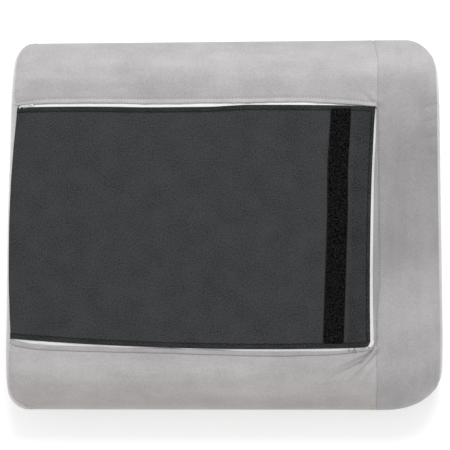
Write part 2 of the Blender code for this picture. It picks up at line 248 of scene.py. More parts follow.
# Where the cover pulls: a fan at the opening's lower right corner, a nip at its upper right corner
# and short drags along the right end. Each is start, end, width and height.
FOLDS = [
    ((0.214, -0.156), (0.206, -0.245), 0.0150, -0.0018),
    ((0.213, -0.169), (0.146, -0.203), 0.0042, 0.0052),
    ((0.2105, -0.168), (0.176, -0.209), 0.0016, -0.0034),
    ((0.197, -0.189), (0.146, -0.214), 0.0016, -0.0024),
    ((0.214, -0.171), (0.166, -0.224), 0.0036, 0.0032),
    ((0.214, -0.177), (0.158, -0.234), 0.0016, -0.0013),
    ((0.213, -0.184), (0.176, -0.240), 0.0030, 0.0014),
    ((0.212, -0.168), (0.164, -0.190), 0.0012, -0.0016),
    ((0.222, 0.160), (0.184, 0.190), 0.0022, -0.0013),
    ((0.222, 0.166), (0.190, 0.197), 0.0040, 0.0012),
    ((0.216, 0.170), (0.250, 0.190), 0.0044, 0.0011),
    ((0.304, 0.170), (0.270, 0.160), 0.0016, -0.0014),
    ((0.304, 0.150), (0.272, 0.140), 0.0018, -0.0013),
    ((0.304, 0.126), (0.264, 0.116), 0.0018, -0.0014),
    ((0.304, 0.100), (0.274, 0.095), 0.0016, -0.0011),
    ((0.304, 0.138), (0.272, 0.128), 0.0030, 0.0011),
    ((0.304, 0.112), (0.276, 0.105), 0.0028, 0.0009),
]


def lift(x, y):
    """How far the top rises over the flat slab: a roll along each long side and along the end band,
    a low belly in the middle, soft waves and folds, all fading out at the ends."""
    from_side = HALF_WIDTH - np.abs(y)
    from_end = np.minimum(x - LEFT, RIGHT - x)
    rolls = ROLL_CREST * bump(from_side - ROLL_FROM_SIDE, ROLL_WIDTH)
    crest = BAND_CREST * bump(RIGHT - x - BAND_CREST_FROM_END, BAND_CREST_WIDTH)
    band_roll = crest * rising(from_side, 0, BAND_CREST_FADE)
    along = 1 - (2 * (x - LEFT) / (RIGHT - LEFT) - 1) ** 2
    belly = BELLY * np.clip(1 - (y / HALF_WIDTH) ** 2, 0, 1) * np.clip(along, 0, 1)
    waves = WAVE_HEIGHT * soft_waves(x, y, *WAVE_LENGTHS, 14, 3)
    fade = rising(from_end, 0, END_FADE)
    folds = sum(fold(x, y, *each) for each in FOLDS) * rising(from_end, 0, FOLD_FADE)
    return (rolls + band_roll + belly + waves) * fade * (2 - fade) + folds


def pad_point(x, flat, turn, side):
    """A point of the pad's surface. The section at x is flat from its middle (flat 0) to where the
    side begins (flat 1), then turns (0 at the top, half a circle at the bottom) round an ellipse."""
    y = side * ((half_width(x, side) - SIDE_ROUND) * flat + SIDE_ROUND * np.sin(turn))
    up = np.cos(turn)
    z = MIDDLE + half_height(x) * up + lift(x, y) * np.clip(up, 0, 1)
    return np.stack(np.broadcast_arrays(x, y, z), -1)


def outward_normals(points, around=False):
    """Unit normals of a grid of points, from its differences, pointing away from the pad's middle."""
    wide = points
    if around:
        wide = np.concatenate([points[:, -1:], points, points[:, :1]], 1)
    normals = np.cross(np.gradient(wide, axis=0), np.gradient(wide, axis=1))
    normals = normals[:, 1:-1] if around else normals
    normals = normals / np.maximum(np.linalg.norm(normals, axis=-1, keepdims=True), 1e-12)
    outward = (normals * (points - [0, 0, MIDDLE])).sum() > 0
    return normals if outward else -normals


def pushed(points, amount, around=False):
    """The grid moved along its own outward normals."""
    amount = np.broadcast_to(amount, points.shape[:2])[..., None]
    return points + outward_normals(points, around) * amount


def new_piece(name, vertices, faces):
    """A smooth mesh object. The pad is a little longer along its lower side than along its upper
    side, so every piece is drawn out along X by a share that falls with Y, most at the upper left.
    The last stretch at each end is pressed in a little, by a smooth step."""
    drawn = np.array(vertices, float)
    for press, start, reach in END_PRESSES:
        drawn[:, 0] -= press * smooth(rising(drawn[:, 0], start, reach))
    upper_left = np.clip(drawn[:, 0] / LEFT, 0, 1) * np.clip(drawn[:, 1], 0, 1)
    drawn[:, 0] *= LENGTH_SHARE - TAPER * drawn[:, 1] - UPPER_LEFT_TAPER * upper_left
    mesh = bpy.data.meshes.new(name)
    mesh.from_pydata(drawn, [], faces)
    mesh.shade_smooth()
    piece = bpy.data.objects.new(name, mesh)
    bpy.context.scene.collection.objects.link(piece)
    return piece


def grid_mesh(name, points, around=False, poles=(False, False)):
    """A surface from a grid of points, facing outwards. around joins the last column to the first.
    poles closes the first row, the last row or both to a point in the row's middle."""
    rows, columns = points.shape[:2]
    index = np.arange(rows * columns).reshape(rows, columns)
    if around:
        index = np.concatenate([index, index[:, :1]], 1)
    quads = np.stack([index[:-1, :-1], index[1:, :-1], index[1:, 1:], index[:-1, 1:]], -1).reshape(-1, 4)
    vertices = points.reshape(-1, 3)
    fans = []
    for row, wanted, order in ((0, poles[0], (0, 1, 2)), (-1, poles[1], (0, 2, 1))):
        if wanted:
            pole = np.full(index.shape[1] - 1, len(vertices))
            vertices = np.concatenate([vertices, points[row].mean(0, keepdims=True)])
            fans.append(np.stack([pole, index[row, :-1], index[row, 1:]], -1)[:, order])
    a, b, c, d = (vertices[quads[:, corner]] for corner in range(4))
    centre = vertices.mean(0) if all(poles) else np.array([0, 0, MIDDLE])
    if (np.cross(c - a, d - b) * ((a + c) / 2 - centre)).sum() < 0:
        quads, fans = quads[:, ::-1], [fan[:, ::-1] for fan in fans]
    return new_piece(name, vertices, quads.tolist() + [face for fan in fans for face in fan.tolist()])


def girth(flat_steps, side_steps, low_steps):
    """Places round a whole section, from the middle of the top over the upper side, the bottom and
    the lower side: arrays of flat, turn and side for pad_point."""
    out = np.linspace(0, 1, flat_steps, endpoint=False)
    turns = np.linspace(0, math.pi, side_steps, endpoint=False)
    back = np.linspace(1, 0, low_steps, endpoint=False)
    flat = np.concatenate([out, np.ones(side_steps), back])
    turn = np.concatenate([0 * out, turns, math.pi + 0 * back])
    other_flat = np.concatenate([[0], flat[:0:-1]])
    other_turn = np.concatenate([[math.pi], turn[:0:-1]])
    side = np.concatenate([np.ones(len(flat)), -np.ones(len(other_flat))])
    return np.concatenate([flat, other_flat]), np.concatenate([turn, other_turn]), side


def end_disc(ring, steps, bulge):
    """Rings that close an end, from a ring inwards to near its middle, swelling out by bulge."""
    share = np.linspace(1, 0, steps + 1, endpoint=False)[1:, None, None]
    rings = ring.mean(0) + (ring - ring.mean(0)) * share
    rings[..., 0] += bulge * (1 - share[..., 0] ** 2)
    return rings


# The opening in the cover, which the layers below rise into. Its edges bow out between their ends,
# the upper one with a slight swell towards the band and the lower one widest there. A swell or a dip
# is given as its size, place and width, and a draw as its size, start and reach.
LEFT_RIM = 0.0064
LEFT_RIM_LEAST = 0.0046
LEFT_RIM_LEAST_PLACE = -0.02
LEFT_RIM_GROWTH = 0.0062
LEFT_RIM_REACH = 0.17
# Where the rim starts to settle, and its reach.
LEFT_RIM_SETTLES = (0.163, 0.014)
OPENING_END = 0.2077
OPENING_END_LEAN = 0.0211
OPENING_END_CURVE = 0.112
OPENING_END_FURTHEST = 0.2128
OPENING_UPPER = 0.1640
OPENING_UPPER_BOW = 0.0060
UPPER_SWELL = (0.0018, 0.105, 0.05)
UPPER_DIP = (0.0012, -0.105, 0.065)
UPPER_GROOVE = 0.0013
OPENING_LOWER = 0.1778
OPENING_LOWER_DRAW = 0.0122
OPENING_LOWER_WIDEST = 0.085
LOWER_DIP = (0.0023, -0.095, 0.09)
LOWER_CORNER_DRAW = (0.0062, 0.13, 0.085)
LOWER_ROOT_DRAW = (0.0046, -0.262, -0.034)
LOWER_CORNER_ROUND = 0.0085
LOWER_CORNER_OVERRUN = 0.0004
EDGE_WAVER = 0.0003
WAVER_LENGTHS = (0.02, 0.06)
OPENED_PAST_SEAM = 0.0008
OPENED_EASE = 0.0018


def swell(x, size, place, width):
    """A rounded swell of an edge, or a dip for a negative size."""
    return size * bump(x - place, width)


def waver(x, seed):
    """The slight unevenness of a sewn edge: small soft waves along it."""
    return EDGE_WAVER * soft_waves(x, 0 * x, *WAVER_LENGTHS, 8, seed)


def left_rim(y):
    """How far the left seam lies in from the left end: least near the middle of the flap's root,
    growing towards the flap's corners, and beyond them settling to one value."""
    growth = LEFT_RIM_GROWTH * ((y - LEFT_RIM_LEAST_PLACE) / LEFT_RIM_REACH) ** 2
    root = LEFT_RIM_LEAST + growth
    return root + (LEFT_RIM - root) * rising(np.abs(y), *LEFT_RIM_SETTLES)


def along_opening(x):
    """-1 at the left end and 1 at the band's seam."""
    centre = (LEFT + SEAM_X) / 2
    return np.clip((x - centre) / (SEAM_X - centre), -1, 1)


def opening_end(y):
    """The end's line leans and curves, reaching furthest towards the band at its upper corner."""
    line = OPENING_END + OPENING_END_LEAN * y + OPENING_END_CURVE * y**2
    return np.minimum(line, OPENING_END_FURTHEST)


def opening_upper(x):
    """A line that bows out, swells once, dips once and wavers slightly."""
    bow = OPENING_UPPER_BOW * (1 - along_opening(x) ** 6)
    return OPENING_UPPER + bow + swell(x, *UPPER_SWELL) - swell(x, *UPPER_DIP) + waver(x, 61)


def opening_lower(x):
    """A power curve from its widest place, with a dip inwards, drawn in at both ends and round at
    the band, wavering slightly."""
    away = np.abs((x - OPENING_LOWER_WIDEST) / (LEFT - OPENING_LOWER_WIDEST))
    draw = OPENING_LOWER_DRAW * away**2.4 + swell(x, *LOWER_DIP)
    for size, start, reach in (LOWER_CORNER_DRAW, LOWER_ROOT_DRAW):
        draw = draw + size * rising(x, start, reach) ** 2
    end = opening_end(-OPENING_LOWER) + LOWER_CORNER_OVERRUN
    return -OPENING_LOWER + draw + round_corner(end - x, LOWER_CORNER_ROUND) + waver(x, 62)


def opened(points):
    """1 on the top inside the opening, 0 elsewhere, easing over a distance within its edges."""
    x, y, z = points[..., 0], points[..., 1], points[..., 2]
    inside = np.minimum(opening_upper(x) - UPPER_GROOVE - y, y - opening_lower(x))
    inside = np.minimum(inside, np.minimum(opening_end(y), SEAM_X) - x)
    inside = np.minimum(inside, x - LEFT - left_rim(y) + OPENED_PAST_SEAM)
    return smooth(rising(inside, 0, OPENED_EASE)) * (z > MIDDLE)


def inner_layer(name, inset, inset_in_opening, columns, places):
    """A closed body of the pad's form, drawn in by an inset, which is smaller in the opening."""
    flat, turn, side = places
    even = np.linspace(0, 1, columns)
    x = (LEFT + (RIGHT - LEFT) * (0.5 * even + 0.25 * (1 - np.cos(math.pi * even))))[:, None]
    tube = pad_point(x, flat, turn, side)
    left_end = end_disc(tube[0], END_RINGS, -END_BULGE)[::-1]
    points = np.concatenate([left_end, tube, end_disc(tube[-1], END_RINGS, END_BULGE)])
    depth = inset - (inset - inset_in_opening) * opened(points)
    return grid_mesh(name, pushed(points, -depth, around=True), around=True, poles=(True, True))


def math_node(tree, operation, *values):
    """A math node whose inputs are sockets or numbers. Returns its output."""
    node = tree.nodes.new("ShaderNodeMath")
    node.operation = operation
    for socket, value in zip(node.inputs, values):
        if isinstance(value, (int, float)):
            socket.default_value = value
        else:
            tree.links.new(value, socket)
    return node.outputs[0]


def noise_node(tree, vector, scale, detail=2.0, roughness=0.5):
    """A noise texture whose scale is a socket or a number. Returns its value."""
    noise = tree.nodes.new("ShaderNodeTexNoise")
    noise.inputs["Detail"].default_value = detail
    noise.inputs["Roughness"].default_value = roughness
    tree.links.new(vector, noise.inputs["Vector"])
    if isinstance(scale, (int, float)):
        noise.inputs["Scale"].default_value = scale
    else:
        tree.links.new(scale, noise.inputs["Scale"])
    return noise.outputs["Fac"]


def add_bump(tree, shader, height, distance, strength=1.0):
    """Feeds a height, through a Bump node, to the shader's normal."""
    node = tree.nodes.new("ShaderNodeBump")
    node.inputs["Strength"].default_value = strength
    node.inputs["Distance"].default_value = distance
    tree.links.new(height, node.inputs["Height"])
    tree.links.new(node.outputs["Normal"], shader.inputs["Normal"])


def colour_ramp(tree, factor, *stops):
    """Colours by factor, from pairs of place and colour."""
    ramp = tree.nodes.new("ShaderNodeValToRGB")
    elements = ramp.color_ramp.elements
    while len(elements) < len(stops):
        elements.new(1.0)
    for element, (place, colour) in zip(elements, stops):
        element.position = place
        element.color = (*colour, 1)
    tree.links.new(factor, ramp.inputs["Fac"])
    return ramp.outputs["Color"]


def object_place(tree):
    """The place on the piece, in metres, for a pattern to follow."""
    return tree.nodes.new("ShaderNodeTexCoord").outputs["Object"]


def darker(colour, factor):
    """A colour times a factor, which is above 1 for a paler one."""
    return tuple(channel * factor for channel in colour)


def foam_material():
    """Open-cell foam: small round pits all over, with painted shade inside them, over slow yellowish
    clouds.
    """
    material, tree, shader = plain_material("foam", FOAM_COLOUR, 0.95)
    place = object_place(tree)
    cells = tree.nodes.new("ShaderNodeTexVoronoi")
    cells.inputs["Scale"].default_value = 700.0
    tree.links.new(place, cells.inputs["Vector"])
    tone = math_node(tree, "MULTIPLY_ADD", noise_node(tree, place, 12.0), 0.3, cells.outputs["Distance"])
    colour = colour_ramp(tree, tone, (0.1, darker(FOAM_COLOUR, 0.7)), (0.7, FOAM_COLOUR))
    tree.links.new(colour, shader.inputs["Base Color"])
    add_bump(tree, shader, cells.outputs["Distance"], 0.0006)
    return material


foam = inner_layer("foam_block", FOAM_INSET, FOAM_INSET_IN_OPENING, 70, girth(40, 26, 16))
foam.data.materials.append(foam_material())
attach(foam, "pad")
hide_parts("foam_core")


# ------------------------------------------------------------------------------------------- liner
# A thin white bag round the foam. It shows beside the flap as a narrow white line, because the
# cover's opening is a little wider than the flap, and it bulges up into the opening.

LINER_INSET = 0.0029
LINER_INSET_IN_OPENING = -0.0004
LINER_COLOUR = (0.95, 0.95, 0.94)


def new_group(name, inputs, outputs):
    """An empty shader node group. Returns its tree, its input sockets by name and its output node."""
    tree = bpy.data.node_groups.new(name, "ShaderNodeTree")
    for label, kind in inputs:
        tree.interface.new_socket(name=label, in_out="INPUT", socket_type=kind)
    for label in outputs:
        tree.interface.new_socket(name=label, in_out="OUTPUT", socket_type="NodeSocketFloat")
    into = tree.nodes.new("NodeGroupInput")
    return tree, into.outputs, tree.nodes.new("NodeGroupOutput")


def build_fibre_group():
    """Tone and height of a soft cloth: slow clouds, streaks stretched one way, and a fine grain."""
    number, vector = "NodeSocketFloat", "NodeSocketVector"
    inputs = [("Place", vector), ("Stretch", vector), ("Cloud Scale", number)]
    inputs += [("Streak Scale", number), ("Grain Scale", number), ("Streak Share", number)]
    tree, given, out = new_group("soft_fibres", inputs, ("Tone", "Height"))
    stretch = tree.nodes.new("ShaderNodeVectorMath")
    stretch.operation = "MULTIPLY"
    tree.links.new(given["Place"], stretch.inputs[0])
    tree.links.new(given["Stretch"], stretch.inputs[1])
    clouds = noise_node(tree, given["Place"], given["Cloud Scale"], 3.0, 0.6)
    streaks = noise_node(tree, stretch.outputs[0], given["Streak Scale"], 3.0, 0.6)
    grain = noise_node(tree, given["Place"], given["Grain Scale"], 2.0, 0.6)
    streak_part = math_node(tree, "MULTIPLY", streaks, given["Streak Share"])
    rest = math_node(tree, "SUBTRACT", 0.6, given["Streak Share"])
    tone = math_node(tree, "MULTIPLY_ADD", clouds, rest, streak_part)
    tree.links.new(math_node(tree, "MULTIPLY_ADD", grain, 0.4, tone), out.inputs["Tone"])
    tree.links.new(math_node(tree, "MULTIPLY_ADD", clouds, 0.4, grain), out.inputs["Height"])
    return tree


def place_group(tree, group, vector, **values):
    """Puts a group in a material's tree. Names of values have underscores for spaces."""
    node = tree.nodes.new("ShaderNodeGroup")
    node.node_tree = group
    tree.links.new(vector, node.inputs[0])
    for label, value in values.items():
        node.inputs[label.replace("_", " ")].default_value = value
    return node.outputs


fibre_group = build_fibre_group()


def liner_material():
    """Thin pressed cloth: a fine random grain, and slow creases a few centimetres apart."""
    material, tree, shader = plain_material("liner", LINER_COLOUR, 0.85)
    cloth = place_group(tree, fibre_group, object_place(tree), Stretch=(0.3, 1, 1), Cloud_Scale=26.0,
                        Streak_Scale=90.0, Grain_Scale=900.0, Streak_Share=0.3)
    colour = colour_ramp(tree, cloth["Tone"], (0.35, darker(LINER_COLOUR, 0.93)), (0.6, LINER_COLOUR))
    tree.links.new(colour, shader.inputs["Base Color"])
    add_bump(tree, shader, cloth["Height"], 0.0010)
    return material


liner = inner_layer("liner_bag", LINER_INSET, LINER_INSET_IN_OPENING, 150, girth(90, 40, 24))
liner.data.materials.append(liner_material())
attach(liner, "pad")
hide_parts("inner_liner")


# ------------------------------------------------------------------------------------------- cover
# Short-pile grey plush in four panels: a sleeve round the long sides, a band at the right end and a
# cap on each end. The sleeve is open on the underside. The seams pull in between the fuller panels.

COVER_CLOTH = 0.0020
# The band's seam steps by a size, from a start over a reach, drifts the same way at its upper end,
# and has two bends, each given by its size, place and width.
BAND_STEP = (0.0040, -0.080, -0.050)
BAND_DRIFT = (0.0034, 0.234, 0.024)
BAND_BENDS = ((0.0012, 0.223, 0.020), (-0.0018, 0.173, 0.012))
SEAM_DEPTH = 0.0006
SEAM_REACH = 0.0009
SEAM_SWELL = 0.00035
SEAM_SWELL_PLACE = 0.0042
SEAM_SWELL_REACH = 0.0028
SEAM_PUCKER = 0.55
PUCKER_LENGTHS = (0.006, 0.018)
BINDING_WIDTH = 0.0060
BINDING_NARROWING = 0.0030
# Where a binding starts to narrow, and its reach.
NARROWS_TO_BAND = (0.09, 0.10)
NARROWS_TO_ROOT = (-0.266, -0.030)
STITCH_LINE_PAST_BINDING = 0.0004
STITCH_LINE_DEPTH = 0.0005
STITCH_LINE_WIDTH = 0.0016
CAP_RINGS = 16
RIGHT_RIM = 0.0040
PLUSH = (0.502, 0.488, 0.492)


def left_seam(flat, turn, side):
    """Where the left cap's seam crosses each line of the girth: the rim in from the left end, and in
    the corners where that line meets the outline drawn in by the rim. Found by halving."""
    reach_x, reach_y = (np.where(side > 0, *pair) for pair in zip(*LEFT_CORNERS))
    low = LEFT + LEFT_RIM_LEAST + 0 * turn
    high = LEFT + reach_x
    for _ in range(30):
        x = (low + high) / 2
        y = (half_width(x, side) - SIDE_ROUND) * flat + SIDE_ROUND * np.sin(turn)
        share = np.clip((LEFT + reach_x - x) / (reach_x - LEFT_RIM), 0, 1)
        seam_y = HALF_WIDTH - reach_y + (reach_y - LEFT_RIM) * np.sqrt(1 - share**2)
        outside = (y > seam_y) | (x < LEFT + left_rim(y))
        low, high = np.where(outside, x, low), np.where(outside, high, x)
    return (low + high) / 2


def binding_width(x, side):
    """How wide the binding along a long edge is: the lower one narrows towards the band, the upper
    one towards the flap's root."""
    narrowed = np.where(side < 0, rising(x, *NARROWS_TO_BAND), rising(x, *NARROWS_TO_ROOT) ** 2)
    return BINDING_WIDTH - BINDING_NARROWING * narrowed


def ring_length(points):
    """The length along each row of a grid, from its first column."""
    steps = np.linalg.norm(np.diff(points, axis=-2), axis=-1)
    return np.concatenate([0 * steps[..., :1], np.cumsum(steps, -1)], -1)


def seam_push(gap, along, seed):
    """A seam pulls the cloth in along a narrow line, and beside it the cloth swells into puckers."""
    pucker = 1 + SEAM_PUCKER * soft_waves(along, 0 * along, *PUCKER_LENGTHS, 12, seed)
    full = SEAM_SWELL * pucker * bump(gap - SEAM_SWELL_PLACE, SEAM_SWELL_REACH)
    return full - SEAM_DEPTH * bump(gap, SEAM_REACH)


def slant_fade(slant):
    """1 where a seam runs across the pad, fading to 0 where it turns to run along it."""
    return rising(slant, 0.25, 0.5)


def eased(count, squeeze):
    """Steps from 0 to 1, closer together near both ends."""
    steps = np.linspace(0, 1, count)
    return steps - squeeze * np.sin(2 * math.pi * steps) / (2 * math.pi)


def thicken(piece, thickness):
    """Gives a surface the thickness of its cloth, inwards."""
    wall = piece.modifiers.new("cloth", "SOLIDIFY")
    wall.thickness = thickness
    wall.offset = -1


def band_seam(y):
    """The band's seam runs straight beside the opening. It steps in beyond the lower corner, and
    beyond the upper corner it bends in, out and in again."""
    step, step_start, step_reach = BAND_STEP
    drift, drift_start, drift_reach = BAND_DRIFT
    line = SEAM_X - step * smooth(rising(y, step_start, step_reach))
    line = line - drift * rising(y, drift_start, drift_reach)
    return line + sum(swell(y, *bend) for bend in BAND_BENDS)


def band_seam_round(flat, turn, side):
    """Where the band's seam crosses each line of the girth."""
    return band_seam(side * ((HALF_WIDTH - SIDE_ROUND) * flat + SIDE_ROUND * np.sin(turn)))


def seam_slant(start, flat, turn, side):
    """The cosine of the seam line's slant over the girth, to turn a distance along X into a gap."""
    line = pad_point(start, flat, turn, side)
    across = np.gradient(ring_length(line))
    return np.sqrt(np.clip(1 - (np.gradient(start) / across) ** 2, 0.02, 1))


def rested(points):
    """The same points, pressed flat where the pad lies on the floor."""
    return np.concatenate([points[..., :2], np.maximum(points[..., 2:], 0)], -1)


def sleeve_points():
    """From the opening's upper edge over the upper side, the bottom and the lower side to the
    opening's lower edge, between the left seam and the band's seam."""
    out = np.linspace(0, 1, 24, endpoint=False) ** 1.3
    turns = math.pi * np.linspace(0, 1, 96, endpoint=False) ** 1.4
    back = np.linspace(1, 0, 26, endpoint=False)
    strip = np.concatenate([out, np.ones(len(turns) + len(back))])
    flat = np.concatenate([np.ones(len(out) + len(turns)), back])
    turn = np.concatenate([0 * out, turns, math.pi + 0 * back])
    side = np.concatenate([np.ones(len(flat)), -np.ones(len(flat) - 1)])
    strip = np.concatenate([strip, strip[:0:-1]])
    flat = np.concatenate([flat, flat[:0:-1]])
    turn = np.concatenate([turn, turn[:0:-1]])
    start = left_seam(flat, turn, side)
    stop = band_seam_round(flat, turn, side)
    x = start + (stop - start) * eased(150, 0.8)[:, None]
    edge = np.where(side > 0, opening_upper(x), -opening_lower(x))
    first = edge / (half_width(x, side) - SIDE_ROUND)
    flat = np.where(strip < 1, first + (1 - first) * strip, flat)
    points = pad_point(x, flat, turn, side)
    along = ring_length(points)
    slant = seam_slant(start, np.where(strip < 1, flat[0], flat[-1]), turn, side)
    push = seam_push(stop - x, along, 11)
    push = push + seam_push((x - start) * slant, along, 12) * slant_fade(slant)
    from_edge = np.abs(points[..., 1]) - edge
    above = points[..., 2] > MIDDLE
    line = binding_width(x, side) + STITCH_LINE_PAST_BINDING
    push = push - STITCH_LINE_DEPTH * bump(from_edge - line, STITCH_LINE_WIDTH) * above
    return rested(pushed(points, push))


def band_points():
    """The whole girth between the band's seam and the right cap's seam."""
    flat, turn, side = girth(70, 70, 26)
    start = band_seam_round(flat, turn, side)
    x = start + (RIGHT - RIGHT_RIM - start) * eased(64, 0.7)[:, None]
    points = pad_point(x, flat, turn, side)
    along = ring_length(points)
    push = seam_push(x - start, along, 13) + seam_push(RIGHT - RIGHT_RIM - x, along, 14)
    return rested(pushed(points, push, around=True))


def cap_points(start, end, places, bulge, slant):
    """A cap: the girth's rings from its seam to the end, then rings that close the end."""
    flat, turn, side = places
    x = start + (end - start) * np.sin(np.linspace(0, math.pi / 2, CAP_RINGS))[:, None]
    rings = pad_point(x, flat, turn, side)
    points = np.concatenate([rings, end_disc(rings[-1], CAP_RINGS, bulge)])
    far_off = np.ones((CAP_RINGS, len(flat)))
    gap = np.concatenate([np.abs(x - start) * slant, far_off])
    push = seam_push(gap, ring_length(points), 15) * slant_fade(slant)
    return rested(pushed(points, push, around=True))


def mix_node(tree, kind, factor, first, second, blend="MIX"):
    """A mix of two numbers or colours, whose inputs are sockets or values. Returns its output."""
    node = tree.nodes.new("ShaderNodeMix")
    node.data_type = kind
    node.blend_type = blend
    for label, value in (("Factor", factor), ("A", first), ("B", second)):
        if isinstance(value, bpy.types.NodeSocket):
            tree.links.new(value, node.inputs[label])
        else:
            node.inputs[label].default_value = value
    return node.outputs["Result"]


def plush_material(name, colour, stretch, painted_light, fineness=480.0, fuzz=0.18):
    """Short pile: soft clouds where the pile lies differently, streaks along it, and fine tufts.
    painted_light gives painted light and shade across the pad, for how the light and the pile's sheen
    fall, as pairs of a share of the width and a factor or a tint."""
    material, tree, shader = plain_material(name, colour, 0.92)
    shader.inputs["Sheen Weight"].default_value = fuzz
    shader.inputs["Sheen Roughness"].default_value = 0.5
    shader.inputs["Specular IOR Level"].default_value = 0.12
    place = object_place(tree)
    cloth = place_group(tree, fibre_group, place, Stretch=stretch, Cloud_Scale=16.0,
                        Streak_Scale=42.0, Grain_Scale=fineness, Streak_Share=0.28)
    shades = colour_ramp(tree, cloth["Tone"], (0.33, darker(colour, 0.80)), (0.67, darker(colour, 1.20)))
    parts = tree.nodes.new("ShaderNodeSeparateXYZ")
    tree.links.new(place, parts.inputs[0])
    across = math_node(tree, "MULTIPLY_ADD", parts.outputs["Y"], 0.5 / HALF_WIDTH, 0.5)
    # Painted light and shade across the pad: a tone for each share of the width, multiplied into the
    # cloth's colour.
    tints = [(share, tuple(np.broadcast_to(tone, 3))) for share, tone in painted_light]
    painted_light_tone = colour_ramp(tree, across, *tints)
    mixed = mix_node(tree, "RGBA", 1.0, shades, painted_light_tone, "MULTIPLY")
    tree.links.new(mixed, shader.inputs["Base Color"])
    add_bump(tree, shader, cloth["Height"], 0.0006, 0.8)
    return material


# Painted light and shade across the pad, one table for each panel, standing in for how the key light and
# the pile's sheen fall. The sleeve is darker on its lower strip than on its upper one and darker at its
# upper edge, and its lower edge is painted warm and darker. The band is painted darker across its middle.
# The caps are painted paler from the middle to the upper side.
WARM_EDGE = (0.92, 0.89, 0.855)
WARM_SIDE = (0.96, 0.94, 0.925)
SLEEVE_PAINTED_LIGHT = (
    (0.0, WARM_EDGE), (0.05, WARM_SIDE), (0.135, 0.88), (0.3, 0.82),
    (0.7, 0.90), (0.87, 0.92), (0.94, 0.93), (1.0, 0.79),
)
BAND_PAINTED_LIGHT = (
    (0.0, 0.85), (0.14, 0.825), (0.27, 0.87), (0.45, 0.66),
    (0.65, 0.63), (0.8, 0.73), (0.94, 0.89), (1.0, 0.82),
)
CAP_PAINTED_LIGHT = ((0.0, 1.0), (0.5, 1.14), (1.0, 1.14))
plush = plush_material("plush", PLUSH, (0.25, 1, 1), SLEEVE_PAINTED_LIGHT)
cap_plush = plush_material("cap_plush", PLUSH, (1, 0.25, 1), CAP_PAINTED_LIGHT, fuzz=0.7)
band_plush = plush_material("band_plush", PLUSH, (1, 0.25, 1), BAND_PAINTED_LIGHT)
sleeve = grid_mesh("sleeve", sleeve_points())
band = grid_mesh("end_band", band_points(), around=True)
cap_places = girth(36, 60, 26)
left_start = left_seam(*cap_places)
left_slant = seam_slant(left_start, *cap_places)
left_points = cap_points(left_start, LEFT, cap_places, -END_BULGE, left_slant)
right_points = cap_points(RIGHT - RIGHT_RIM + 0 * left_start, RIGHT, cap_places, END_BULGE, 1.0)
left_cap = grid_mesh("left_cap", left_points, around=True, poles=(False, True))
right_cap = grid_mesh("right_cap", right_points, around=True, poles=(False, True))
for piece, node, material in (
    (sleeve, "cover_sleeve", plush),
    (band, "cover_end_band", band_plush),
    (left_cap, "left_end_cap", cap_plush),
    (right_cap, "right_end_cap", cap_plush),
):
    thicken(piece, COVER_CLOTH)
    piece.data.materials.append(material)
    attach(piece, "pad")
    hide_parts(node)


# ------------------------------------------------------------------------------- cover seam threads
# Polyester thread in the three seams round the pad: one at each cap and one where the band is sewn
# to the sleeve. It lies deep between the swollen panels. Threads lie a hair off their cloth.

SEAM_PITCH = 0.0042
SEAM_STITCH = 0.0029
THREAD_RADIUS = 0.00036
HAIR = 0.0001
GREY_THREAD = (0.34, 0.332, 0.334)


def thread_material(name, colour):
    """Twisted thread: fine lines of painted shade in the grooves between the strands, and a slight
    difference along it.
    """
    material, tree, shader = plain_material(name, colour, 0.7)
    place = object_place(tree)
    strands = tree.nodes.new("ShaderNodeTexWave")
    strands.inputs["Scale"].default_value = 900.0
    strands.inputs["Distortion"].default_value = 3.0
    tree.links.new(place, strands.inputs["Vector"])
    tone = math_node(tree, "MULTIPLY_ADD", noise_node(tree, place, 60.0), 0.5, strands.outputs["Fac"])
    colour = colour_ramp(tree, tone, (0.2, darker(colour, 0.75)), (1.0, darker(colour, 1.15)))
    tree.links.new(colour, shader.inputs["Base Color"])
    add_bump(tree, shader, strands.outputs["Fac"], 0.0001)
    return material


def thread_mesh(name, lines, up, radius):
    """Round threads along centre lines, given as threads x points x 3, tapering at both ends."""
    unit = lines[:, -1:] - lines[:, :1]
    unit = unit / np.linalg.norm(unit, axis=-1, keepdims=True)
    across = np.cross(unit, up)
    across = across / np.linalg.norm(across, axis=-1, keepdims=True)
    share = np.linspace(-1, 1, lines.shape[1])
    size = radius * np.sqrt(1 - 0.9 * share**4)[:, None, None]
    angle = np.linspace(0, 2 * math.pi, 6, endpoint=False)[:, None]
    up = np.broadcast_to(up, lines.shape)[:, :, None]
    vertices = lines[:, :, None] + (across[:, :, None] * np.cos(angle) + up * np.sin(angle)) * size
    index = np.arange(vertices[..., 0].size).reshape(vertices.shape[:3])
    turned = np.roll(index, -1, 2)
    quads = np.stack([index[:, :-1], turned[:, :-1], turned[:, 1:], index[:, 1:]], -1).reshape(-1, 4)
    faces = quads.tolist() + index[:, 0, ::-1].tolist() + index[:, -1].tolist()
    return new_piece(name, vertices.reshape(-1, 3), faces)


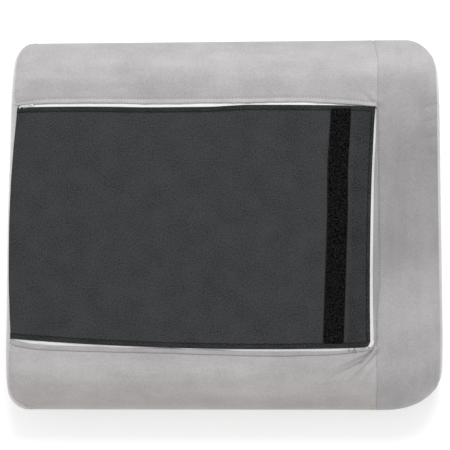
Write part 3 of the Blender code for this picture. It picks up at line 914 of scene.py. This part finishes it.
def stitch_row(name, path, up, pitch, length, radius, seed):
    """Stitches along a path of points with normals. Each stitch dives into the cloth at both ends,
    and lies a little out of line and out of place, by a seeded draw."""
    arc = ring_length(path)
    count = int(arc[-1] // pitch)
    draw = np.random.default_rng(seed)
    middle = (arc[-1] - (count - 1) * pitch) / 2 + pitch * np.arange(count)
    middle = middle + draw.normal(0, 0.04 * pitch, count)
    share = np.linspace(-1, 1, 6)
    at = np.clip(middle[:, None] + share * length / 2, 0, arc[-1])
    line = np.stack([np.interp(at, arc, path[:, axis]) for axis in range(3)], -1)
    normal = np.stack([np.interp(at, arc, up[:, axis]) for axis in range(3)], -1)
    normal = normal / np.linalg.norm(normal, axis=-1, keepdims=True)
    across = np.cross(line[:, -1:] - line[:, :1], normal)
    line = line + across * (share * draw.normal(0, 0.05, count)[:, None])[..., None]
    line = line - normal * (1.6 * radius * share**4)[:, None]
    return thread_mesh(name, line, normal, radius)


def seam_path(start, depth, places):
    """The line of a seam round the girth and its normals, a depth below the smooth surface."""
    flat, turn, side = (np.append(place, place[0]) for place in places)
    x = np.append(start, start[0])
    near = pad_point(x + np.array([[-10 * HAIR], [0], [10 * HAIR]]), flat, turn, side)
    up = outward_normals(near)[1]
    return near[1] - up * depth, up


grey_thread = thread_material("grey_thread", GREY_THREAD)
seam_places = girth(60, 80, 30)
for name, node, start, seed in (
    ("left_seam_stitches", "left_cap_seam_thread", left_seam(*seam_places), 21),
    ("band_seam_stitches", "end_band_seam_thread", band_seam_round(*seam_places), 22),
    ("right_seam_stitches", "right_cap_seam_thread", RIGHT - RIGHT_RIM + 0 * seam_places[0], 23),
):
    path, up = seam_path(start, SEAM_DEPTH + HAIR, seam_places)
    stitches = stitch_row(name, path, up, SEAM_PITCH, SEAM_STITCH, THREAD_RADIUS, seed)
    stitches.data.materials.append(grey_thread)
    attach(stitches, "pad")
    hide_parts(node)


# ---------------------------------------------------------------------------------- opening's edges
# The opening's edges are bound in a narrow folded strip of the same plush, topstitched along its
# outer side. The upper strip is painted paler and the others darker, as painted light and shade for
# the upper one turning to the light and the others turning away.

BINDING_OVER_EDGE = 0.0004
BINDING_TOP = 0.0007
BINDING_LOW = -0.0026
BINDING_SHORT_OF_SEAM = 0.001
END_BINDING_OVERLAP = 0.003
END_BINDING_GAP = 0.0014
TOPSTITCH_PITCH = 0.0045
TOPSTITCH = 0.0034
TOPSTITCH_INSET = 0.0004
END_TOPSTITCH_PAST_SEAM = 0.0016
END_TOPSTITCH_RISE = 0.0004
BINDING = (0.575, 0.562, 0.564)
# Painted light and shade along the bindings: pale on the upper one, darker on the lower and end ones.
BINDING_PAINTED_LIGHT = ((0.0, 0.70), (0.2, 0.70), (0.3, 0.62), (0.75, 0.60), (0.79, 0.74), (0.83, 0.93))


def pad_top(x, y):
    """The height of the pad's upper surface over a place in plan, on the same surface."""
    side = np.where(y >= 0, 1.0, -1.0)
    over = np.abs(y) - (half_width(x, side) - SIDE_ROUND)
    up = np.sqrt(1 - np.clip(over / SIDE_ROUND, 0, 1) ** 2)
    return MIDDLE + half_height(x) * up + lift(x, y) * up


def on_top(x, y, rise):
    """Points over the pad's upper surface, raised along its normal, and the normals."""
    step = 4 * HAIR
    slope_x = (pad_top(x + step, y) - pad_top(x - step, y)) / (2 * step)
    slope_y = (pad_top(x, y + step) - pad_top(x, y - step)) / (2 * step)
    normal = np.stack(np.broadcast_arrays(-slope_x, -slope_y, 1.0), -1)
    normal = normal / np.linalg.norm(normal, axis=-1, keepdims=True)
    points = np.stack(np.broadcast_arrays(x, y, pad_top(x, y)), -1)
    return points + normal * np.broadcast_to(rise, points.shape[:-1])[..., None], normal


def strip_points(near, far, low, high):
    """A closed strip of cloth: a flat rounded section between two plan lines, one at each side."""
    angle = np.linspace(0, 2 * math.pi, 28, endpoint=False)
    share = 0.5 - 0.5 * np.sign(np.cos(angle)) * np.abs(np.cos(angle)) ** 0.35
    level = np.sign(np.sin(angle)) * np.abs(np.sin(angle)) ** 0.6
    plan = near[:, None] + (far - near)[:, None] * share[:, None]
    rise = (low + high) / 2 + (high - low) / 2 * level
    return on_top(plan[..., 0], plan[..., 1], np.broadcast_to(rise, plan.shape[:2]))[0]


binding_cloth = plush_material("binding", BINDING, (1, 0.3, 1), BINDING_PAINTED_LIGHT, 600.0)
long_share = np.linspace(0, 1, 260)
edge_y = np.linspace(opening_lower(SEAM_X) - END_BINDING_OVERLAP,
                     opening_upper(SEAM_X) + END_BINDING_OVERLAP, 170)


def sides_of(edge_line, outward):
    """The plan lines on both sides of a long binding, over the edge and out to its stitched side,
    and the line of its stitches."""
    start = LEFT + LEFT_RIM + BINDING_SHORT_OF_SEAM
    stop = band_seam(outward * OPENING_UPPER) - BINDING_SHORT_OF_SEAM
    edge_x = start + (stop - start) * long_share
    edge = edge_line(edge_x)
    near = np.stack([edge_x, edge - outward * BINDING_OVER_EDGE], -1)
    width = binding_width(edge_x, outward)
    far = np.stack([edge_x, edge + outward * width], -1)
    line = np.stack([edge_x, edge + outward * (width - TOPSTITCH_INSET)], -1)
    return near, far, line


def end_sides():
    """The same for the end's binding, which reaches to the band's seam and is stitched beyond it."""
    near = np.stack([opening_end(edge_y), edge_y], -1)
    far = np.stack([band_seam(edge_y) - END_BINDING_GAP, edge_y], -1)
    return near, far, far + [END_BINDING_GAP + END_TOPSTITCH_PAST_SEAM, 0]


for label, (near, far, line), rise, seed in (
    ("upper", sides_of(opening_upper, 1), BINDING_TOP - HAIR, 31),
    ("lower", sides_of(opening_lower, -1), BINDING_TOP - HAIR, 32),
    ("end", end_sides(), END_TOPSTITCH_RISE, 33),
):
    strip = grid_mesh(label + "_binding", strip_points(near, far, BINDING_LOW, BINDING_TOP),
                      around=True, poles=(True, True))
    strip.data.materials.append(binding_cloth)
    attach(strip, "pad")
    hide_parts(label + "_edge_binding")
    path, up = on_top(line[:, 0], line[:, 1], rise)
    stitches = stitch_row(label + "_topstitch", path, up, TOPSTITCH_PITCH, TOPSTITCH,
                          THREAD_RADIUS, seed)
    stitches.data.materials.append(grey_thread)
    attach(stitches, "pad")
    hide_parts(label + "_binding_thread")


# -------------------------------------------------------------------------------------------- flap
# A charcoal plain-weave cloth over the opening, sewn into the left cap's seam. Its three free edges
# are turned under and stitched, so a double edge shows as a slightly raised border with painted shade.

FLAP_CLOTH = 0.0008
FLAP_LIFT = 0.0012
FLAP_UPPER = 0.1640
# The upper edge's step: its size, start and reach.
FLAP_UPPER_STEP = (0.0028, -0.03, 0.07)
FLAP_UPPER_DRAW = 0.0020
FLAP_DIP_SHARE = 0.8
FLAP_LOWER = 0.1742
FLAP_LOWER_DRAW = 0.0127
FLAP_LOWER_WIDEST = 0.050
FLAP_LOWER_REACH = 0.33
FLAP_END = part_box("flap_panel")[1][0]
FLAP_END_OVERRUN = 0.0010
FLAP_SLANT = 0.0100
FLAP_ROOT_TUCK = 0.0008
FLAP_ROOT_HALF = 0.160
FLAP_WAVES = 0.0002
FLAP_WAVE_LENGTHS = (0.02, 0.07)
FREE_CORNER = 0.0065
ROOT_CORNER = 0.0040
ROOT_CORNER_SHARE = 0.6
HEM_UPPER = 0.0075
HEM_LOWER = 0.0080
HEM_END = 0.0060
HEM_RISE = 0.0004
HEM_EASE = 0.0016
HEM_SHADE = 0.40
HEM_START = 0.008
HEM_SHORT = 0.0004
HEM_IN = 0.0002
HEM_PITCH = 0.0032
HEM_STITCH = 0.0022
HEM_STITCH_INSET = 0.0012
HEM_LINE_INSET = 0.0010
HEM_LINE_WIDTH = 0.0007
FLAP_THREAD_RADIUS = 0.00032
# Past the tape the cloth is a little darker: where that starts, its reach, lean and strength.
PAST_TAPE = (0.174, 0.003)
PAST_TAPE_LEAN = 0.0306
PAST_TAPE_SHADE = 0.25
WEAVE_PITCH = 0.0010
CHARCOAL = (0.0345, 0.0355, 0.0380)
BLACK_THREAD = (0.018, 0.018, 0.019)


def flap_upper(x):
    """The upper edge: straight, with a gentle step out towards the band, a share of the opening's
    dip, and drawn in at both ends, with a flattened round at the root."""
    step, start, reach = FLAP_UPPER_STEP
    draw = FLAP_UPPER_DRAW * along_opening(x) ** 6 + FLAP_DIP_SHARE * swell(x, *UPPER_DIP)
    rounding = ROOT_CORNER_SHARE * round_corner(x - LEFT - LEFT_RIM - ROOT_CORNER, ROOT_CORNER)
    return FLAP_UPPER + step * smooth(rising(x, start, reach)) - draw - rounding


def flap_lower(x):
    """The lower edge: a parabola from its widest place, with a round corner at the free end."""
    draw = FLAP_LOWER_DRAW * ((x - FLAP_LOWER_WIDEST) / FLAP_LOWER_REACH) ** 2
    return -FLAP_LOWER + draw + round_corner(FLAP_END - FLAP_SLANT - x, FREE_CORNER)


def flap_free_end(v):
    """Where the free end lies: straight across the lower part, then reaching out to the top."""
    return FLAP_END + FLAP_END_OVERRUN - FLAP_SLANT * (1 - v**2.5)


def flap_place(u, v):
    """A place on the flap in plan, u from the root to the free end and v from the lower edge to the
    upper edge."""
    y = -FLAP_LOWER + (FLAP_UPPER + FLAP_LOWER) * v
    root = LEFT + left_rim(np.clip(y, -FLAP_ROOT_HALF, FLAP_ROOT_HALF)) - FLAP_ROOT_TUCK
    x = root + (flap_free_end(v) - root) * u
    return x, flap_lower(x) + (flap_upper(x) - flap_lower(x)) * v


def build_weave_group():
    """Plain weave: crossing threads at a pitch, over and under by turns. In each cell the upper
    thread is round across its own run and dips where it goes under its neighbours."""
    inputs = [("Place", "NodeSocketVector"), ("Pitch", "NodeSocketFloat")]
    tree, given, out = new_group("plain_weave", inputs, ("Height", "Slub"))
    parts = tree.nodes.new("ShaderNodeSeparateXYZ")
    tree.links.new(given["Place"], parts.inputs[0])
    runs, cells = [], []
    for axis in ("X", "Y"):
        place = math_node(tree, "DIVIDE", parts.outputs[axis], given["Pitch"])
        inside = math_node(tree, "SUBTRACT", math_node(tree, "FRACT", place), 0.5)
        runs.append(inside)
        cells.append(math_node(tree, "FLOOR", place))
    odd = math_node(tree, "PINGPONG", math_node(tree, "ADD", cells[0], cells[1]), 1.0)
    rounds = [math_node(tree, "COSINE", math_node(tree, "MULTIPLY", run, 2.6)) for run in runs]
    dips = [math_node(tree, "COSINE", math_node(tree, "MULTIPLY", run, 1.5)) for run in runs]
    warp = math_node(tree, "MULTIPLY", rounds[0], dips[1])
    weft = math_node(tree, "MULTIPLY", rounds[1], dips[0])
    tree.links.new(mix_node(tree, "FLOAT", odd, warp, weft), out.inputs["Height"])
    tree.links.new(noise_node(tree, given["Place"], 480.0, 3.0, 0.7), out.inputs["Slub"])
    return tree


weave_group = build_weave_group()


def cloth_mark(tree):
    """The mark that map_cloth stores, for a material to read."""
    node = tree.nodes.new("ShaderNodeAttribute")
    node.attribute_name = "mark"
    return node.outputs["Fac"]


def flap_material():
    """Charcoal yarn in plain weave, its tone uneven from yarn to yarn, darker where it is marked: painted
    shade over the hems and in their stitch grooves, and a darker stretch past the tape. It is worn paler in
    slow patches."""
    material, tree, shader = plain_material("charcoal_cloth", CHARCOAL, 0.88)
    shader.inputs["Specular IOR Level"].default_value = 0.12
    uv = tree.nodes.new("ShaderNodeUVMap")
    uv.uv_map = "cloth"
    weave = place_group(tree, weave_group, uv.outputs["UV"], Pitch=WEAVE_PITCH)
    clouds = noise_node(tree, uv.outputs["UV"], 26.0, 3.0, 0.6)
    tone = math_node(tree, "MULTIPLY_ADD", weave["Height"], 0.35, weave["Slub"])
    tone = math_node(tree, "MULTIPLY_ADD", clouds, 0.25, tone)
    tone = math_node(tree, "MULTIPLY_ADD", cloth_mark(tree), -0.30, tone)
    colour = colour_ramp(tree, tone, (0.53, darker(CHARCOAL, 0.05)), (0.97, darker(CHARCOAL, 1.83)))
    tree.links.new(colour, shader.inputs["Base Color"])
    add_bump(tree, shader, weave["Height"], 0.0003, 0.8)
    return material


# Where the free lower corner is bunched by its stitching. Start, end, width and height of each.
CORNER_FOLDS = [
    ((0.204, -0.149), (0.172, -0.158), 0.0014, 0.0014),
    ((0.206, -0.160), (0.178, -0.1635), 0.0012, 0.0012),
    ((0.200, -0.1690), (0.168, -0.1675), 0.0011, 0.0009),
    ((0.205, -0.134), (0.187, -0.147), 0.0015, 0.0012),
    ((0.206, -0.116), (0.184, -0.122), 0.0016, 0.0007),
    ((0.205, -0.154), (0.188, -0.152), 0.0012, 0.0010),
]


def map_cloth(piece, mark):
    """Stores a UV map in metres, from the vertices' places in plan, and a mark on each vertex: how
    much darker the cloth is there, or how far the tape's pale selvedge shows."""
    mesh = piece.data
    loops = np.zeros(len(mesh.loops), np.int32)
    mesh.loops.foreach_get("vertex_index", loops)
    places = np.zeros(3 * len(mesh.vertices), np.float32)
    mesh.vertices.foreach_get("co", places)
    plan = places.reshape(-1, 3)[loops, :2]
    mesh.uv_layers.new(name="cloth").data.foreach_set("uv", plan.reshape(-1))
    marks = np.broadcast_to(np.ravel(mark), len(mesh.vertices))
    mesh.attributes.new("mark", "FLOAT", "POINT").data.foreach_set("value", marks)


def hem_share(x, y):
    """1 over the turned-under hems and 0 further in, with a narrow step between, and the line of the
    stitches beside that step, where a groove of painted shade is drawn."""
    end = flap_free_end(rising(y, -FLAP_LOWER, FLAP_UPPER + FLAP_LOWER))
    gap = np.minimum(flap_upper(x) - y - HEM_UPPER, y - flap_lower(x) - HEM_LOWER)
    gap = np.minimum(gap, end - x - HEM_END)
    return np.clip(0.5 - gap / HEM_EASE, 0, 1), bump(gap + HEM_LINE_INSET, HEM_LINE_WIDTH)


def close_steps(count, fine, fine_share):
    """Steps from 0 to 1 with extra fine ones within fine_share of both ends."""
    ends = np.linspace(0, fine_share, fine, endpoint=False)
    return np.concatenate([ends, np.linspace(fine_share, 1 - fine_share, count - 2 * fine), 1 - ends[::-1]])


def bend_at_root(piece):
    """Bakes the piece's transform into its mesh."""
    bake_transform(piece)


flap_u = close_steps(170, 20, 0.02)[:, None]
flap_v = close_steps(130, 20, 0.035)[None, :]
flap_x, flap_y = flap_place(flap_u, flap_v)
flap_hem, stitch_groove_shade = hem_share(flap_x, flap_y)
flap_rise = FLAP_LIFT + HEM_RISE * flap_hem
flap_rise = flap_rise + FLAP_WAVES * soft_waves(flap_x, flap_y, *FLAP_WAVE_LENGTHS, 12, 5)
flap_rise = flap_rise + sum(np.abs(fold(flap_x, flap_y, *each)) for each in CORNER_FOLDS)
flap = grid_mesh("flap_cloth", on_top(flap_x, flap_y, flap_rise)[0])
past_tape = rising(flap_x - PAST_TAPE_LEAN * flap_y, *PAST_TAPE)
# Painted shade: darker over the hems and darker still along their stitch grooves.
hem_painted_shade = HEM_SHADE * flap_hem + (1 - HEM_SHADE) * stitch_groove_shade
map_cloth(flap, np.maximum(hem_painted_shade, PAST_TAPE_SHADE * past_tape))
thicken(flap, FLAP_CLOTH)
charcoal_cloth = flap_material()
flap.data.materials.append(charcoal_cloth)
bend_at_root(flap)
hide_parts("flap_panel")

# Each hem is the flap's own cloth turned under and pressed flat, then stitched near its raw edge.
black_thread = thread_material("black_thread", BLACK_THREAD)
hem_x = np.linspace(LEFT + LEFT_RIM + HEM_START, FLAP_END - FLAP_SLANT - HEM_SHORT, 240)
hem_v = np.linspace(0.004, 0.996, 160)
end_x, end_y = flap_place(1.0 + 0 * hem_v, hem_v)
upper_edge = np.stack([hem_x, flap_upper(hem_x) - HEM_IN], -1)
lower_edge = np.stack([hem_x, flap_lower(hem_x) + HEM_IN], -1)
end_edge = np.stack([end_x - HEM_IN, end_y], -1)
hem_low = FLAP_LIFT + HEM_RISE - 2 * FLAP_CLOTH
for label, edge, inward, width, seed in (
    ("upper", upper_edge, (0, -1), HEM_UPPER, 41),
    ("lower", lower_edge, (0, 1), HEM_LOWER, 42),
    ("end", end_edge, (-1, 0), HEM_END, 43),
):
    inner = edge + np.array(inward) * width
    hem = grid_mesh(label + "_hem", strip_points(edge, inner, hem_low, hem_low + FLAP_CLOTH),
                    around=True, poles=(True, True))
    # The turned-under hem pieces carry the same painted shade.
    map_cloth(hem, HEM_SHADE)
    hem.data.materials.append(charcoal_cloth)
    line = edge + np.array(inward) * (width - HEM_STITCH_INSET)
    path, up = on_top(line[:, 0], line[:, 1], FLAP_LIFT + HEM_RISE + HAIR)
    stitches = stitch_row(label + "_hem_stitches", path, up, HEM_PITCH, HEM_STITCH,
                          FLAP_THREAD_RADIUS, seed)
    stitches.data.materials.append(black_thread)
    for piece, node, slot in (
        (hem, f"flap_{label}_hem", "charcoal_cloth"),
        (stitches, f"flap_{label}_thread", "black_thread"),
    ):
        bend_at_root(piece)
        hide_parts(node)


# ------------------------------------------------------------------------------------ fastening tape
# Black loop tape sewn across the flap near its free end, a little out of square. Soft loops stand on
# its ground between two flat woven selvedges, with a row of stitches down each selvedge.

TAPE_MIDDLE = 0.1575
TAPE_LEAN = 0.0390
TAPE_WIDTH = 0.030
TAPE_SELVEDGE = 0.0020
# The tape's bow: its size, place and width.
TAPE_BOW = (-0.0019, 0.080, 0.045)
TAPE_ENDS = (-0.1660, 0.1620)
TAPE_CLOTH = 0.0006
TAPE_GROUND = 0.0005
TAPE_PILE = 0.0008
PILE_EASE = 0.0008
TUFT_HEIGHT = 0.00016
TAPE_GRID = (560, 56)
# Where the pale selvedge starts on the tape's right side, from its middle to its edge, and its reach.
PALE_SELVEDGE = (0.955, 0.015)
TAPE_COLOUR = (0.0036, 0.0034, 0.0036)
SELVEDGE_COLOUR = (0.062, 0.063, 0.066)
TAPE_PITCH = 0.0034
TAPE_STITCH = 0.0024
TAPE_STITCH_FROM_END = 0.002


def tape_material():
    """Knitted nylon loops: a dense dull fuzz with tiny painted glints as painted highlights, paler on the
    outer selvedge.
    """
    material, tree, shader = plain_material("loop_tape", TAPE_COLOUR, 0.8)
    shader.inputs["Specular IOR Level"].default_value = 0.02
    place = object_place(tree)
    loops = tree.nodes.new("ShaderNodeTexVoronoi")
    loops.inputs["Scale"].default_value = 900.0
    tree.links.new(place, loops.inputs["Vector"])
    fuzz = noise_node(tree, place, 380.0, 3.0, 0.7)
    tone = math_node(tree, "MULTIPLY_ADD", loops.outputs["Distance"], 0.5, fuzz)
    # Painted highlights: the brightest loops are painted as glints, up to five and a half times the tape's
    # colour.
    pile = colour_ramp(tree, tone, (0.66, darker(TAPE_COLOUR, 0.0)), (0.92, darker(TAPE_COLOUR, 5.5)))
    mixed = mix_node(tree, "RGBA", cloth_mark(tree), pile, (*SELVEDGE_COLOUR, 1))
    tree.links.new(mixed, shader.inputs["Base Color"])
    add_bump(tree, shader, fuzz, 0.0008)
    return material


def tape_line(y, across):
    """The tape leans and isn't sewn quite straight: it bows towards the root above its middle."""
    return TAPE_MIDDLE + TAPE_LEAN * y + across + swell(y, *TAPE_BOW)


def tape_points():
    """A fine grid over the tape, raised over the loops by a smoothed seeded draw."""
    y = np.linspace(*TAPE_ENDS, TAPE_GRID[0])[:, None]
    across = np.linspace(-TAPE_WIDTH / 2, TAPE_WIDTH / 2, TAPE_GRID[1])[None, :]
    x = tape_line(y, across)
    inside = rising(TAPE_WIDTH / 2 - TAPE_SELVEDGE - np.abs(across), 0, PILE_EASE)
    tufts = np.random.default_rng(51).normal(0, 1, TAPE_GRID)
    tufts = (tufts + np.roll(tufts, 1, 0) + np.roll(tufts, 1, 1) + np.roll(tufts, -1, 0)) / 2
    rise = FLAP_LIFT + TAPE_GROUND + inside * (TAPE_PILE + TUFT_HEIGHT * tufts)
    return on_top(x, y + 0 * x, rise)[0]


tape = grid_mesh("tape_loops", tape_points())
tape_edge = rising(np.linspace(-1, 1, TAPE_GRID[1]), *PALE_SELVEDGE)
map_cloth(tape, np.broadcast_to(tape_edge, TAPE_GRID))
thicken(tape, TAPE_CLOTH)
tape.data.materials.append(tape_material())
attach(tape, "flap")
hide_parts("loop_tape")
tape_y = np.linspace(TAPE_ENDS[0] + TAPE_STITCH_FROM_END, TAPE_ENDS[1] - TAPE_STITCH_FROM_END, 200)
for label, side, seed in (("left", -1, 52), ("right", 1, 53)):
    tape_x = tape_line(tape_y, side * (TAPE_WIDTH - TAPE_SELVEDGE) / 2)
    path, up = on_top(tape_x, tape_y, FLAP_LIFT + TAPE_GROUND + HAIR)
    stitches = stitch_row(f"tape_{label}_stitches", path, up, TAPE_PITCH, TAPE_STITCH,
                          FLAP_THREAD_RADIUS, seed)
    stitches.data.materials.append(black_thread)
    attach(stitches, "flap")
    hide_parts(f"tape_{label}_thread")


# ------------------------------------------------------------------------------------- loose ends
# Cut ends of black thread at the bunched corner of the flap, and white fibres that the liner sheds
# where it is caught beside the flap's root.

LOOSE_THREAD_RADIUS = 0.00022
LOOSE_STARTS = (
    (0.173, -0.1705), (0.178, -0.1712), (0.181, -0.1700), (0.195, -0.1690), (0.199, -0.1655),
)
LOOSE_LENGTHS = (0.006, 0.011)
LOOSE_STEPS = 8
LOOSE_ARCH = 0.0012
FIBRES = 46
FIBRE_RADIUS = 0.00026
FIBRE_LENGTHS = (0.0022, 0.0052)
FIBRE_SPAN = (-0.2915, -0.2715)
FIBRE_FOOT = 0.1655
FIBRE_FOOT_SLOPE = 0.10
FIBRE_SCATTER = 0.0006


def loose_lines(starts, lengths, headings, turns, rise):
    """Curved lines over the pad's top: from each start along a heading that turns steadily, raised
    in the middle and lying down at both ends."""
    share = np.linspace(0, 1, LOOSE_STEPS + 1)[None, :]
    heading = headings[:, None] + turns[:, None] * share
    step = lengths[:, None] / LOOSE_STEPS
    x = starts[:, :1] + np.cumsum(step * np.cos(heading), 1)
    y = starts[:, 1:] + np.cumsum(step * np.sin(heading), 1)
    return on_top(x, y, rise + LOOSE_ARCH * 4 * share * (1 - share))


draw = np.random.default_rng(71)
lines, up = loose_lines(np.array(LOOSE_STARTS), draw.uniform(*LOOSE_LENGTHS, 5),
                        draw.uniform(-2.2, 0.3, 5), draw.uniform(-2.0, 2.0, 5), FLAP_LIFT + 2 * HAIR)
thread_ends = thread_mesh("loose_thread_ends", lines, up, LOOSE_THREAD_RADIUS)
thread_ends.data.materials.append(black_thread)
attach(thread_ends, "flap")
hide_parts("flap_lower_thread")

fibre_x = draw.uniform(*FIBRE_SPAN, FIBRES)
fibre_y = FIBRE_FOOT + FIBRE_FOOT_SLOPE * (fibre_x - FIBRE_SPAN[0]) + draw.normal(0, FIBRE_SCATTER, FIBRES)
lines, up = loose_lines(np.stack([fibre_x, fibre_y], -1), draw.uniform(*FIBRE_LENGTHS, FIBRES),
                        draw.uniform(-2.6, -0.5, FIBRES), draw.uniform(-1.5, 1.5, FIBRES),
                        FLAP_LIFT + HEM_RISE + HAIR)
fibres = thread_mesh("liner_fibres", lines, up, FIBRE_RADIUS)
fibres.data.materials.append(liner.data.materials[0])
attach(fibres, "pad")
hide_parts("inner_liner")
